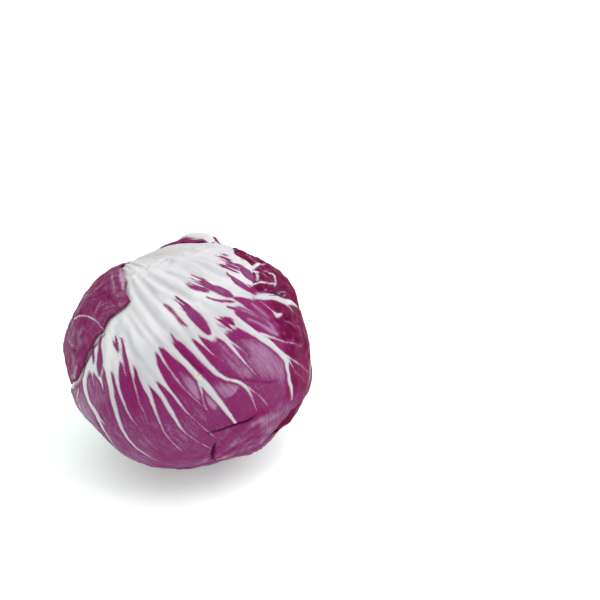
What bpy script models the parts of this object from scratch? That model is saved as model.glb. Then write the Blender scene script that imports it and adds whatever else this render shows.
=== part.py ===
"""Head of round red radicchio, lying on its side as picked.

The head is a core with a cut stem, a tight heart, and the leaves that wrap them. Each leaf is a thin shell: a
patch of directions seen from the head's centre, laid at the head's outline less the room that the leaves over it
take up. The head rests on a flat spot under its centre. Units are metres, and +Z is up.
"""

import math

import bmesh
import bpy
from mathutils import Vector

# The head: an ellipsoid with a few swells and hollows, pressed flat where it rests
HALF_SIZES = Vector((0.062, 0.060, 0.057))
CENTRE = Vector((0, 0, 0.056))
SWELLS = (  # degrees from the stem, degrees round from the front, spread in degrees, height
    (0, 0, 26, -0.0025),
    (27, 33, 13, -0.0036),
    (45, 32, 15, -0.0038),
    (68, -76, 13, -0.0022),
    (93, -84, 13, -0.0022),
    (153, -106, 17, -0.0028),
    (148, 104, 15, 0.0024),
    (91, 85, 13, 0.0024),
    (119, -147, 30, 0.0022),
)

# The stem's direction, and the side that the front leaf faces
STEM_AZIMUTH = math.radians(135)
STEM_ELEVATION = math.radians(29)
FRONT = Vector((0.11, -0.83, 0.54))

# Core and stem
STEM_RADIUS = 0.0105
STEM_SUNK = 0.0010
CORE_STRAIGHT_TO = 0.009
CORE_DEPTH = 0.032
CORE_TIP_RADIUS = 0.0040
CORE_SIDES = 28
GAP = 0.0004

# Leaves, outermost first. A leaf's middle is so many degrees from the stem and round from the front. From there
# it reaches so many degrees to the left, to the right and on to its tip; its base is at the core. The last number
# is how high its tip stands off the head.
OUTER_LEAVES = (
    ("left_leaf", 48, -62, 66, 42, 36, 0),
    ("broken_leaf", 42, 74, 9, 12, 15, 0.0035),
    ("front_leaf", 92, 0, 98, 92, 86, 0),
    ("bottom_leaf", 96, -147, 84, 80, 88, 0),
    ("right_leaf", 88, 94, 88, 78, 95, 0),
    ("back_leaf", 84, 164, 72, 80, 72, 0),
)
TORN_LEAF = "front_leaf"
TORN_AWAY = 36
TORN_FROM = 5
TORN_TO = 32
WRAPPER_LEAVES = 5
INNER_LEAVES = 8
FIRST_HIDDEN_TURN = 40
TURN_BETWEEN_LEAVES = 137.5
HIDDEN_MIDDLE = 95
HIDDEN_REACH = 84

LEAF_THICKNESS = 0.0011
OUTER_PITCH = 0.0024
OUTER_DEPTH = 0.0086
HIDDEN_PITCH = 0.0025
LEAF_BASE_CLEARANCE = 0.0012
CLEAR_MARGIN = 0.010
SINK_LENGTH = 0.020

OUTER_GRID = (17, 18)
SHORT_REACH = 45
SHORT_GRID = (10, 8)
HIDDEN_GRID = (10, 11)
HEART_GRID = (20, 12)

SHARP_FROM = 50
CORE_EDGE = 0.0012
CORE_EDGE_SEGMENTS = 2

LEAF_ROUGHNESS = 0.45
HEART_ROUGHNESS = 0.5
CORE_ROUGHNESS = 0.6
CRIMSON = (0.300, 0.018, 0.140, 1)
PALE_CRIMSON = (0.480, 0.110, 0.270, 1)
CREAM = (0.800, 0.760, 0.660, 1)


def ease(t):
    """0 up to t = 0, 1 from t = 1, and a smooth step between."""
    t = min(max(t, 0), 1)
    return t * t * (3 - 2 * t)


def axes():
    """The stem's direction, the front, and the direction to the right of the front, at right angles."""
    flat = math.cos(STEM_ELEVATION)
    stem = Vector((flat * math.cos(STEM_AZIMUTH), flat * math.sin(STEM_AZIMUTH), math.sin(STEM_ELEVATION)))
    front = (FRONT - FRONT.dot(stem) * stem).normalized()
    return stem, front, stem.cross(front)


STEM, FACE, SIDE = axes()


def direction(from_stem, round_from_front):
    """The direction that is so many degrees from the stem and round from the front."""
    tilt = math.radians(from_stem)
    turn = math.radians(round_from_front)
    return math.cos(tilt) * STEM + math.sin(tilt) * (math.cos(turn) * FACE + math.sin(turn) * SIDE)


def head_radius(towards):
    """Distance from the head's centre to its outline."""
    scaled = Vector(towards[i] / HALF_SIZES[i] for i in range(3))
    radius = 1 / scaled.length
    for from_stem, turn, spread, height in SWELLS:
        off = math.degrees(towards.angle(direction(from_stem, turn)))
        radius += height * math.exp(-((off / spread) ** 2))
    if towards.z < 0:
        radius = min(radius, -CENTRE.z / towards.z)
    return radius


def core_radius(depth):
    """The core's radius at a depth under the head's outline: straight, then tapered."""
    taper = max(0, (depth - CORE_STRAIGHT_TO) / (CORE_DEPTH - CORE_STRAIGHT_TO))
    return STEM_RADIUS + (CORE_TIP_RADIUS - STEM_RADIUS) * taper


class Leaf:
    """A leaf as a round patch of directions. A place on it is in degrees from its middle: x to the right, y on
    towards its tip."""

    def __init__(self, name, from_stem, turn, left, right, tip, lift=0, outer=(), depth=0):
        self.name = name
        self.left = left
        self.right = right
        self.tip = tip
        self.lift = lift
        self.outer = list(outer)
        self.depth = depth
        self.middle = direction(from_stem, turn)
        self.onward = direction(from_stem + 90, turn)
        self.side = STEM.cross(direction(90, turn))
        inset = depth or OUTER_DEPTH / 2
        clear_of_core = core_radius(inset) + LEAF_BASE_CLEARANCE
        self.base = from_stem - math.degrees(math.asin(clear_of_core / (head_radius(STEM) - inset)))

    def reach(self, x, y):
        """Degrees from the leaf's middle to its side and to its end, on the side where the place is."""
        across = self.left if x < 0 else self.right
        if x > 0 and self.name == TORN_LEAF:
            across -= TORN_AWAY * (1 - ease((y - TORN_FROM) / (TORN_TO - TORN_FROM)))
        return across, self.base if y < 0 else self.tip

    def towards(self, x, y):
        away = math.radians(math.hypot(x, y))
        bearing = math.atan2(y, x)
        outward = math.cos(bearing) * self.side + math.sin(bearing) * self.onward
        return math.cos(away) * self.middle + math.sin(away) * outward

    def covers(self, towards):
        """1 on the leaf and a little outside its margin, falling to 0 farther out."""
        away = math.degrees(towards.angle(self.middle))
        bearing = math.atan2(towards.dot(self.onward), towards.dot(self.side))
        x = away * math.cos(bearing)
        y = away * math.sin(bearing)
        across, along = self.reach(x, y)
        size = max(math.hypot(x / across, y / along), 1)
        off = math.radians(away * (1 - 1 / size)) * HALF_SIZES.y
        return 1 - ease((off - CLEAR_MARGIN) / SINK_LENGTH)

    def surface(self, u, v):
        """The point of the leaf's outer surface that a point of the square from -1 to 1 goes to."""
        y = v * math.sqrt(1 - u * u / 2) * self.reach(u, v)[1]
        x = u * math.sqrt(1 - v * v / 2) * self.reach(u, y)[0]
        towards = self.towards(x, y)
        room = self.depth + OUTER_PITCH * sum(leaf.covers(towards) for leaf in self.outer)
        return CENTRE + (head_radius(towards) - room + self.lift * ease((v + 1) / 2)) * towards


def material(name, colour, roughness):
    made = bpy.data.materials.new(name)
    made.use_nodes = True
    shader = made.node_tree.nodes["Principled BSDF"]
    shader.inputs["Base Color"].default_value = colour
    shader.inputs["Roughness"].default_value = roughness
    shader.inputs["Metallic"].default_value = 0
    made.diffuse_color = colour
    return made


def object_from(form, name, collection, finish):
    mesh = bpy.data.meshes.new(name)
    form.to_mesh(mesh)
    form.free()
    made = bpy.data.objects.new(name, mesh)
    collection.objects.link(made)
    mesh.materials.append(finish)
    mesh.shade_smooth()
    mesh.set_sharp_from_angle(angle=math.radians(SHARP_FROM))
    return made


def add_leaf(leaf, grid, collection, finish):
    """A grid laid over the leaf's patch as its outer surface, with its thickness inwards."""
    form = bmesh.new()
    bmesh.ops.create_grid(form, x_segments=grid[0], y_segments=grid[1], size=1)
    bmesh.ops.reverse_faces(form, faces=form.faces)
    for corner in form.verts:
        corner.co = leaf.surface(corner.co.x, corner.co.y)
    made = object_from(form, leaf.name, collection, finish)
    shell = made.modifiers.new("thickness", "SOLIDIFY")
    shell.thickness = LEAF_THICKNESS
    shell.offset = -1
    return made


def core_form(extra):
    """The core with its stem along +Z, then turned to the stem's direction. Its sides stand out by the extra."""
    surface = head_radius(STEM)
    form = bmesh.new()
    bmesh.ops.create_cone(
        form,
        cap_ends=True,
        segments=CORE_SIDES,
        radius1=CORE_TIP_RADIUS + extra,
        radius2=STEM_RADIUS + extra,
        depth=CORE_DEPTH - CORE_STRAIGHT_TO,
    )
    bmesh.ops.translate(form, vec=(0, 0, surface - (CORE_DEPTH + CORE_STRAIGHT_TO) / 2), verts=form.verts)
    ends = sorted(form.faces, key=lambda face: face.calc_center_median().z)
    stem = bmesh.ops.extrude_discrete_faces(form, faces=ends[-1:])["faces"]
    bmesh.ops.translate(form, vec=(0, 0, CORE_STRAIGHT_TO - STEM_SUNK), verts=stem[0].verts)
    bmesh.ops.translate(form, vec=(0, 0, -extra), verts=ends[0].verts)
    turned = STEM.to_track_quat("Z", "Y").to_matrix()
    bmesh.ops.rotate(form, matrix=turned, verts=form.verts)
    bmesh.ops.translate(form, vec=CENTRE, verts=form.verts)
    return form


def add_core(collection, finish):
    core = object_from(core_form(0), "core", collection, finish)
    edge = core.modifiers.new("rounded edges", "BEVEL")
    edge.width = CORE_EDGE
    edge.segments = CORE_EDGE_SEGMENTS
    edge.limit_method = "ANGLE"
    return core


def add_heart(depth, collection, cutters, finish):
    """A ball laid under the innermost leaf, with a recess for the core's tip."""
    form = bmesh.new()
    bmesh.ops.create_uvsphere(form, u_segments=HEART_GRID[0], v_segments=HEART_GRID[1], radius=1)
    for corner in form.verts:
        towards = corner.co.normalized()
        corner.co = CENTRE + (head_radius(towards) - depth) * towards
    heart = object_from(form, "heart", collection, finish)
    cutter = object_from(core_form(GAP), "core_recess", cutters, finish)
    cutter.hide_render = True
    cutter.display_type = "WIRE"
    recess = heart.modifiers.new("recess for the core", "BOOLEAN")
    recess.operation = "DIFFERENCE"
    recess.solver = "EXACT"
    recess.object = cutter
    return heart


def build():
    for old in list(bpy.data.objects):
        bpy.data.objects.remove(old)
    collection = bpy.data.collections.new("radicchio_head")
    cutters = bpy.data.collections.new("cutters")
    bpy.context.scene.collection.children.link(collection)
    bpy.context.scene.collection.children.link(cutters)
    outer = []
    for row in OUTER_LEAVES:
        leaf = Leaf(*row, outer)
        grid = SHORT_GRID if leaf.right < SHORT_REACH else OUTER_GRID
        add_leaf(leaf, grid, collection, material(leaf.name, CRIMSON, LEAF_ROUGHNESS))
        outer.append(leaf)
    depth = OUTER_DEPTH
    for number in range(WRAPPER_LEAVES + INNER_LEAVES):
        wraps = number < WRAPPER_LEAVES
        name = f"wrapper_leaf_{number + 1}" if wraps else f"inner_leaf_{number - WRAPPER_LEAVES + 1}"
        turn = FIRST_HIDDEN_TURN + number * TURN_BETWEEN_LEAVES
        leaf = Leaf(name, HIDDEN_MIDDLE, turn, HIDDEN_REACH, HIDDEN_REACH, HIDDEN_REACH, depth=depth)
        colour = CRIMSON if wraps else PALE_CRIMSON
        add_leaf(leaf, HIDDEN_GRID, collection, material(name, colour, LEAF_ROUGHNESS))
        depth += HIDDEN_PITCH
    add_heart(depth, collection, cutters, material("heart", PALE_CRIMSON, HEART_ROUGHNESS))
    add_core(collection, material("core", CREAM, CORE_ROUGHNESS))


build()
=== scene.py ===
import math

import bpy
import numpy as np
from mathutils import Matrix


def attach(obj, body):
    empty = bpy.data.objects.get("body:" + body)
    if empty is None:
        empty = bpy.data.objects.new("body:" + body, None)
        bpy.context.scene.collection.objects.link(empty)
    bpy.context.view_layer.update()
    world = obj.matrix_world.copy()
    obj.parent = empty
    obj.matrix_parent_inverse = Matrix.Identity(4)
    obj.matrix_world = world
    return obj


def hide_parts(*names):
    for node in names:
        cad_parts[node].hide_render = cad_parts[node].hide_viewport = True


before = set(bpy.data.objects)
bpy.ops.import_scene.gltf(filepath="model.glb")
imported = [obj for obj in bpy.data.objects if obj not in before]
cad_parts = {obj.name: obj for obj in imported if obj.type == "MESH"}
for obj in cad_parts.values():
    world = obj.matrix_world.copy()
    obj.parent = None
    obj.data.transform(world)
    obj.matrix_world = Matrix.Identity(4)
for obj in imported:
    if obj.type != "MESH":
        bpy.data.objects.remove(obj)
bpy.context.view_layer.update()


# ---- The core and its cut stem ----
# A short cone of dense pale tissue that every leaf grows from. The head was cut off its root with a knife,
# and the cut face has dried to tan, with darker rings where the leaf bases join it. It sits in the heart of
# the head.

# The outline of the head, as its solids have it: an ellipsoid with swells, pressed flat where it rests
HALF_SIZES = np.array((0.062, 0.060, 0.057))
CENTRE = np.array((0, 0, 0.056))
SWELLS = (  # degrees from the stem, degrees round from the front, spread in degrees, height
    (0, 0, 26, -0.0025),
    (27, 33, 13, -0.0036),
    (45, 32, 15, -0.0038),
    (68, -76, 13, -0.0022),
    (93, -84, 13, -0.0022),
    (153, -106, 17, -0.0028),
    (148, 104, 15, 0.0024),
    (91, 85, 13, 0.0024),
    (119, -147, 30, 0.0022),
)
STEM_AZIMUTH = math.radians(135)
STEM_ELEVATION = math.radians(29)
FRONT = np.array((0.11, -0.83, 0.54))
STEM_RADIUS = 0.0105
STEM_SUNK = 0.0010
CORE_STRAIGHT_TO = 0.009
CORE_DEPTH = 0.032
CORE_TIP_RADIUS = 0.0040
CUT_ROUNDING = 0.0008
CUT_DISH = 0.0007
KNIFE_MARKS = 0.00010
LEAF_SCARS = 0.00016
CORE_SIDES = 120
CUT_FACE_TAN = (0.43, 0.31, 0.165, 1)
CUT_RING_BROWN = (0.23, 0.135, 0.065, 1)
CORE_CREAM = (0.577, 0.530, 0.406, 1)


def unit(vectors):
    return vectors / np.linalg.norm(vectors, axis=-1, keepdims=True)


def ease(value, low, high):
    """0 on low's side, 1 on high's side, and a smooth step between the two."""
    t = np.clip((value - low) / (high - low), 0, 1)
    return t * t * (3 - 2 * t)


flat = math.cos(STEM_ELEVATION)
STEM = np.array((flat * math.cos(STEM_AZIMUTH), flat * math.sin(STEM_AZIMUTH), math.sin(STEM_ELEVATION)))
FACE = unit(FRONT - FRONT @ STEM * STEM)
SIDE = np.cross(STEM, FACE)


def direction(from_stem, turn):
    """Unit vectors so many degrees from the stem and so many degrees round from the front."""
    tilt = np.radians(np.asarray(from_stem, float))[..., None]
    turned = np.radians(np.asarray(turn, float))[..., None]
    return np.cos(tilt) * STEM + np.sin(tilt) * (np.cos(turned) * FACE + np.sin(turned) * SIDE)


def head_radius(towards):
    """Distance from the head's centre to its outline, for unit vectors."""
    radius = 1 / np.linalg.norm(towards / HALF_SIZES, axis=-1)
    for from_stem, turn, spread, height in SWELLS:
        off = np.degrees(np.arccos(np.clip(towards @ direction(from_stem, turn), -1, 1)))
        radius = radius + height * np.exp(-((off / spread) ** 2))
    down = np.minimum(towards[..., 2], -1e-6)
    return np.minimum(radius, -CENTRE[2] / down)


class Waves:
    """A smooth random field with features of one size: many plane waves of that length, each its own way."""

    COUNT = 26

    def __init__(self, seed, length):
        self.chance = np.random.default_rng(seed)
        self.ways = unit(self.chance.normal(size=(self.COUNT, 3)))
        self.ways *= 2 * math.pi / length * self.chance.uniform(0.6, 1.4, (self.COUNT, 1))
        self.starts = self.chance.uniform(0, 2 * math.pi, self.COUNT)

    def at(self, places):
        return np.cos(places @ self.ways.T + self.starts).sum(-1) * math.sqrt(2 / self.COUNT)


class Wire:
    """A socket in a finish's nodes. Python's operators on wires and numbers add the Math nodes for them."""

    def __init__(self, tree, socket=None):
        self.tree = tree
        self.socket = socket

    def node(self, kind, settings, sockets, output=0):
        """Adds a node of that type, with its settings first and then its sockets' values or wires."""
        made = self.tree.nodes.new("ShaderNode" + kind)
        for name, value in (settings or {}).items():
            if name == "stops":
                # A new ramp has two stops already
                ramp = made.color_ramp.elements
                for number, (place, colour) in enumerate(value):
                    stop = ramp[number] if number < 2 else ramp.new(place)
                    stop.position = place
                    stop.color = colour
            else:
                setattr(made, name, value)
        for name, value in (sockets or {}).items():
            self.join(made.inputs[name], value)
        return Wire(self.tree, made.outputs[output])

    def join(self, socket, value):
        if isinstance(value, Wire):
            self.tree.links.new(value.socket, socket)
        else:
            socket.default_value = value

    def maths(self, operation, *values):
        return self.node("Math", {"operation": operation}, dict(enumerate(values)))

    def __add__(self, other):
        return self.maths("ADD", self, other)

    __radd__ = __add__

    def __sub__(self, other):
        return self.maths("SUBTRACT", self, other)

    def __rsub__(self, other):
        return self.maths("SUBTRACT", other, self)

    def __mul__(self, other):
        return self.maths("MULTIPLY", self, other)

    __rmul__ = __mul__

    def between(self, low, high):
        """0 where the wire is at low or under, 1 at high or over, and a smooth step between."""
        ends = {"Value": self, "From Min": low, "From Max": high}
        return self.node("MapRange", {"interpolation_type": "SMOOTHSTEP"}, ends)

    def blend(self, first, second):
        """The first colour where the wire is 0, and the second where it is 1."""
        return self.node("Mix", {"data_type": "RGBA"}, {0: self, 6: first, 7: second}, 2)

    def stretch(self, factors):
        return self.node("VectorMath", {"operation": "MULTIPLY"}, {0: self, 1: factors})

    def read(self, name, output=2):
        """An attribute of the mesh: output 2 is a number, and 1 a vector."""
        return self.node("Attribute", {"attribute_name": name}, None, output)

    def noise(self, place, scale, detail, roughness=0.5):
        inputs = {"Vector": place, "Scale": scale, "Detail": detail, "Roughness": roughness}
        return self.node("TexNoise", None, inputs)


def new_finish(name, roughness, subsurface=0.0, radius=(1.0, 0.4, 0.5)):
    """A material with its shader's even values set: it, its shader and a wire to start from."""
    finish = bpy.data.materials.new(name)
    finish.use_nodes = True
    shader = finish.node_tree.nodes["Principled BSDF"]
    shader.inputs["Roughness"].default_value = roughness
    shader.inputs["Coat Weight"].default_value = 0
    shader.inputs["Coat Roughness"].default_value = 0.35
    shader.inputs["Subsurface Weight"].default_value = subsurface
    shader.inputs["Subsurface Radius"].default_value = radius
    shader.inputs["Subsurface Scale"].default_value = 0.0012
    shader.inputs["Specular IOR Level"].default_value = 0.15
    return finish, shader, Wire(finish.node_tree)


def add_piece(name, points, faces, finish, fields=None):
    """A smooth-shaded mesh piece with its fields as vertex attributes: numbers, or vectors of three."""
    mesh = bpy.data.meshes.new(name)
    mesh.from_pydata(points, [], faces)
    for label, values in (fields or {}).items():
        values = np.asarray(values, np.float32)
        vector = values.ndim == 2
        attribute = mesh.attributes.new(label, "FLOAT_VECTOR" if vector else "FLOAT", "POINT")
        attribute.data.foreach_set("vector" if vector else "value", values.ravel())
    mesh.shade_smooth()
    mesh.materials.append(finish)
    piece = bpy.data.objects.new(name, mesh)
    bpy.context.scene.collection.objects.link(piece)
    return piece


def put_in_frame(piece, node):
    """Ties a piece to the shared frame: to its body, in place of the solid that it replaces, which it hides.
    """
    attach(piece, "root")
    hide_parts(node)


def lathe_faces(rings, sides):
    """Quads between rings of the same count, with an end cap at the first and the last."""
    faces = []
    for ring in range(rings - 1):
        for step in range(sides):
            here, there = ring * sides + step, ring * sides + (step + 1) % sides
            faces.append((here, here + sides, there + sides, there))
    faces.append(tuple(range(sides)))
    faces.append(tuple(range((rings - 1) * sides, rings * sides))[::-1])
    return faces


def make_core():
    top = head_radius(STEM) - STEM_SUNK
    end = head_radius(STEM) - CORE_DEPTH
    shoulder = head_radius(STEM) - CORE_STRAIGHT_TO
    profile = [(share * (STEM_RADIUS - CUT_ROUNDING), top) for share in np.linspace(0.02, 1, 40)]
    profile += [(STEM_RADIUS - 0.0003, top - 0.0002), (STEM_RADIUS, top - CUT_ROUNDING)]
    profile += [(STEM_RADIUS, height) for height in np.linspace(top - 0.0014, shoulder, 12)]
    profile += [
        (STEM_RADIUS + (CORE_TIP_RADIUS - STEM_RADIUS) * share, shoulder + (end - shoulder) * share)
        for share in np.linspace(0.04, 1, 22)
    ]
    profile.append((CORE_TIP_RADIUS * 0.6, end - 0.0012))
    radii, heights = np.array(profile).T
    across = unit(np.cross(STEM, (0, 0, 1)))
    up = np.cross(STEM, across)
    around = np.linspace(0, 2 * math.pi, CORE_SIDES, endpoint=False)
    outward = np.cos(around)[:, None] * across + np.sin(around)[:, None] * up
    points = radii[:, None, None] * outward + heights[:, None, None] * STEM
    # Knife marks and rings on the cut face, which has dried hollow, and leaf scars down the sides
    millimetres = points * 1000
    rough = Waves(3, 2.4).at(millimetres) * KNIFE_MARKS + Waves(4, 6.5).at(millimetres) * LEAF_SCARS
    rings = 0.00012 * np.cos(radii * 1000 * 2.3)[:, None] * np.ones(CORE_SIDES)
    on_face = (heights > top - 0.0001)[:, None] * ease(STEM_RADIUS - radii, 0, 0.001)[:, None]
    dished = CUT_DISH * (1 - radii[:, None] / STEM_RADIUS)
    points = points + ((rough + rings - dished) * on_face)[..., None] * STEM
    points = points + (rough * (1 - on_face))[..., None] * outward
    finish, shader, start = new_finish("cut_core", 0.62, subsurface=0.15, radius=(1.0, 0.8, 0.5))
    place = start.node("TexCoord", None, None, 3)
    mottle = start.noise(place, 420, 4)
    spots = start.noise(place, 1500, 3)
    dried = (start.read("cut") + (mottle - 0.5) * 0.9).between(0.45, 1.3)
    browned = (start.read("ring") + (mottle - 0.5) * 0.5 + (spots - 0.5) * 0.4).between(0.45, 0.85)
    tan = browned.blend(CUT_FACE_TAN, CUT_RING_BROWN)
    start.join(shader.inputs["Base Color"], dried.blend(CORE_CREAM, tan))
    bump = start.node("Bump", None, {"Strength": 0.5, "Distance": 0.0003, "Height": spots})
    start.join(shader.inputs["Normal"], bump)
    share = radii / STEM_RADIUS
    cut = np.where(heights > top - 0.0012, 1.0, 0.25 * ease(heights - shoulder, 0, 0.004))
    ring = ease(share, 0.72, 0.92) + 0.5 * np.exp(-(((share - 0.4) / 0.07) ** 2))
    fields = {"cut": np.repeat(cut, CORE_SIDES), "ring": np.repeat(ring, CORE_SIDES)}
    points = (CENTRE + points).reshape(-1, 3)
    core = add_piece("cut_core", points, lathe_faces(len(radii), CORE_SIDES), finish, fields)
    put_in_frame(core, "core")


make_core()


# ---- The heart and the inner leaves ----
# The youngest leaves, packed round the core's tip and never in the light, so they are paler and thinner. Each
# grows a turn of 137.5 degrees on from the one outside it and folds right over the heart.

# The leaves' places in the head, as their solids have them
FIRST_HIDDEN_TURN = 40
TURN_BETWEEN_LEAVES = 137.5
HIDDEN_MIDDLE = 95
HIDDEN_REACH = 84
HIDDEN_DEPTH = 0.0086
HIDDEN_PITCH = 0.0025
HIDDEN_COUNT = 59
ROUND_CORE_TIP = 0.0022
WRAPPER_LEAVES = 5
INNER_LEAVES = 8
LEAF_ENDS_IN_CORE = 0.0006
CLASPS_PAST_STEM = 3  # degrees
EVEN_OVER = np.linspace(-0.3, 0.3, 9)  # radians of bearing that a leaf's margin is evened over, away from it
UNDER_FROM = 4.5  # degrees past its margin where what lies under a leaf starts to sink
UNDER_AT = -3.5

SPHERE = 58.0  # mm, so that a degree on the head is about a millimetre
FAR = 9.0  # mm, as far as a rib's field is worked out
WELL_INSIDE = 30.0  # mm, for places with no margin near
LOWEST_RELIEF = -1.2  # mm
HIGHEST_RELIEF = 1.8
COVERED_IS_FLATTER = 0.85
BASE_SWELLS = 0.0009
BASE_DIVES = 0.012
VEINS_TURN_OVER = 65  # degrees from the stem in which the veins' fan opens by a factor of e
LEAVES_TOUCH_FLOOR_AT = 0.0002
INNER_FACE_OVER_FLOOR = 0.0006
LAYER_SINKS = 0.0015
MARGIN_THICK = 0.30  # mm
BLADE_THICK = 0.95
BASE_THICKER = 1.6
RIB_WHITE = (0.625, 0.61, 0.625, 1)
RIB_SHADE = (0.555, 0.54, 0.56, 1)
# Grey for painted shade in the white tissue's hollows and on its lower ribs
PAINTED_SHADE_GREY = (0.385, 0.365, 0.405, 1)
RIB_CREAM = (0.569, 0.553, 0.498, 1)
DRIED_TAN = (0.395, 0.292, 0.174, 1)
ROSE = (0.309, 0.073, 0.206, 1)
# Near-black for painted shadow inside cuts and cracks
CUT_SHADOW_DARK = (0.033, 0.003, 0.013, 1)


class Leaf:
    """A leaf as a patch of directions round its middle. A place on its margin has a bearing from the middle,
    in radians from the leaf's right side, and a reach in degrees. Its edges are given runs of margin."""

    def __init__(self, name, from_stem, turn, left, right, tip, edges=(), ragged=0.5, over=(), depth=0.0):
        self.name = name
        self.turn = turn
        self.left = left
        self.right = right
        self.tip = tip
        self.over = list(over)
        self.depth = depth
        self.ragged = ragged
        self.middle = direction(from_stem, turn)
        self.onward = direction(from_stem + 90, turn)
        self.side = np.cross(STEM, direction(90, turn))
        self.seed = sum(map(ord, name))
        taper = max(0, (depth - CORE_STRAIGHT_TO) / (CORE_DEPTH - CORE_STRAIGHT_TO))
        core = STEM_RADIUS + (CORE_TIP_RADIUS - STEM_RADIUS) * taper - LEAF_ENDS_IN_CORE
        # A hidden leaf ends at the core. An outer one clasps half of it.
        self.clasps = not depth
        at_core = math.degrees(math.asin(core / (head_radius(STEM) - depth)))
        self.base = from_stem + CLASPS_PAST_STEM if self.clasps else from_stem - at_core
        self.edges = []
        for run in edges:
            away, bearing = self.seen_from_middle(direction(*np.array(run, float).T))
            order = np.argsort(bearing)
            self.edges.append((bearing[order], away[order]))

    def seen_from_middle(self, towards):
        """Degrees away from the leaf's middle, and the bearing."""
        away = np.degrees(np.arccos(np.clip(towards @ self.middle, -1, 1)))
        return away, np.arctan2(towards @ self.onward, towards @ self.side)

    def reach(self, bearing):
        across = np.where(np.cos(bearing) < 0, self.left, self.right)
        along = np.where(np.sin(bearing) < 0, self.base, self.tip)
        reach = 1 / np.hypot(np.cos(bearing) / across, np.sin(bearing) / along)
        for bearings, reaches in self.edges:
            within = (bearing > bearings[0]) & (bearing < bearings[-1])
            reach = np.where(within, np.interp(bearing, bearings, reaches), reach)
        return reach

    def covers(self, towards):
        """1 well under the leaf, falling to 0 a little outside its margin."""
        away, bearing = self.seen_from_middle(towards)
        return ease(away - self.reach(bearing), UNDER_FROM, UNDER_AT)

    def spots(self, count):
        """The places of a square grid laid over the leaf, out to its ragged margin."""
        u, v = np.meshgrid(np.linspace(-1, 1, count), np.linspace(-1, 1, count), indexing="ij")
        x = u * np.sqrt(1 - v * v / 2)
        y = v * np.sqrt(1 - u * u / 2)
        bearing = np.arctan2(y, x).ravel()
        share = np.hypot(x, y).ravel()
        margin = self.reach(bearing)
        at_margin = margin[:, None] * np.stack((np.cos(bearing), np.sin(bearing), 0 * bearing), 1)
        off_core = ease((bearing + math.pi / 2) ** 2, 0, 0.08)
        margin = margin + self.ragged * off_core * (
            0.9 * Waves(self.seed, 13).at(at_margin) + 0.35 * Waves(self.seed + 1, 3.2).at(at_margin)
        )
        # The tears and teeth of the margin only reach a little way into the grid
        turned = bearing[:, None] + EVEN_OVER + math.pi
        even = self.reach(turned % (2 * math.pi) - math.pi).mean(1)
        away = np.radians(share * even + (margin - even) * ease(share, 0.72, 1))
        outward = np.cos(bearing)[:, None] * self.side + np.sin(bearing)[:, None] * self.onward
        towards = np.cos(away)[:, None] * self.middle + np.sin(away)[:, None] * outward
        return Spots(self, towards, (1 - share) * margin * off_core + WELL_INSIDE * (1 - off_core))


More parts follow.
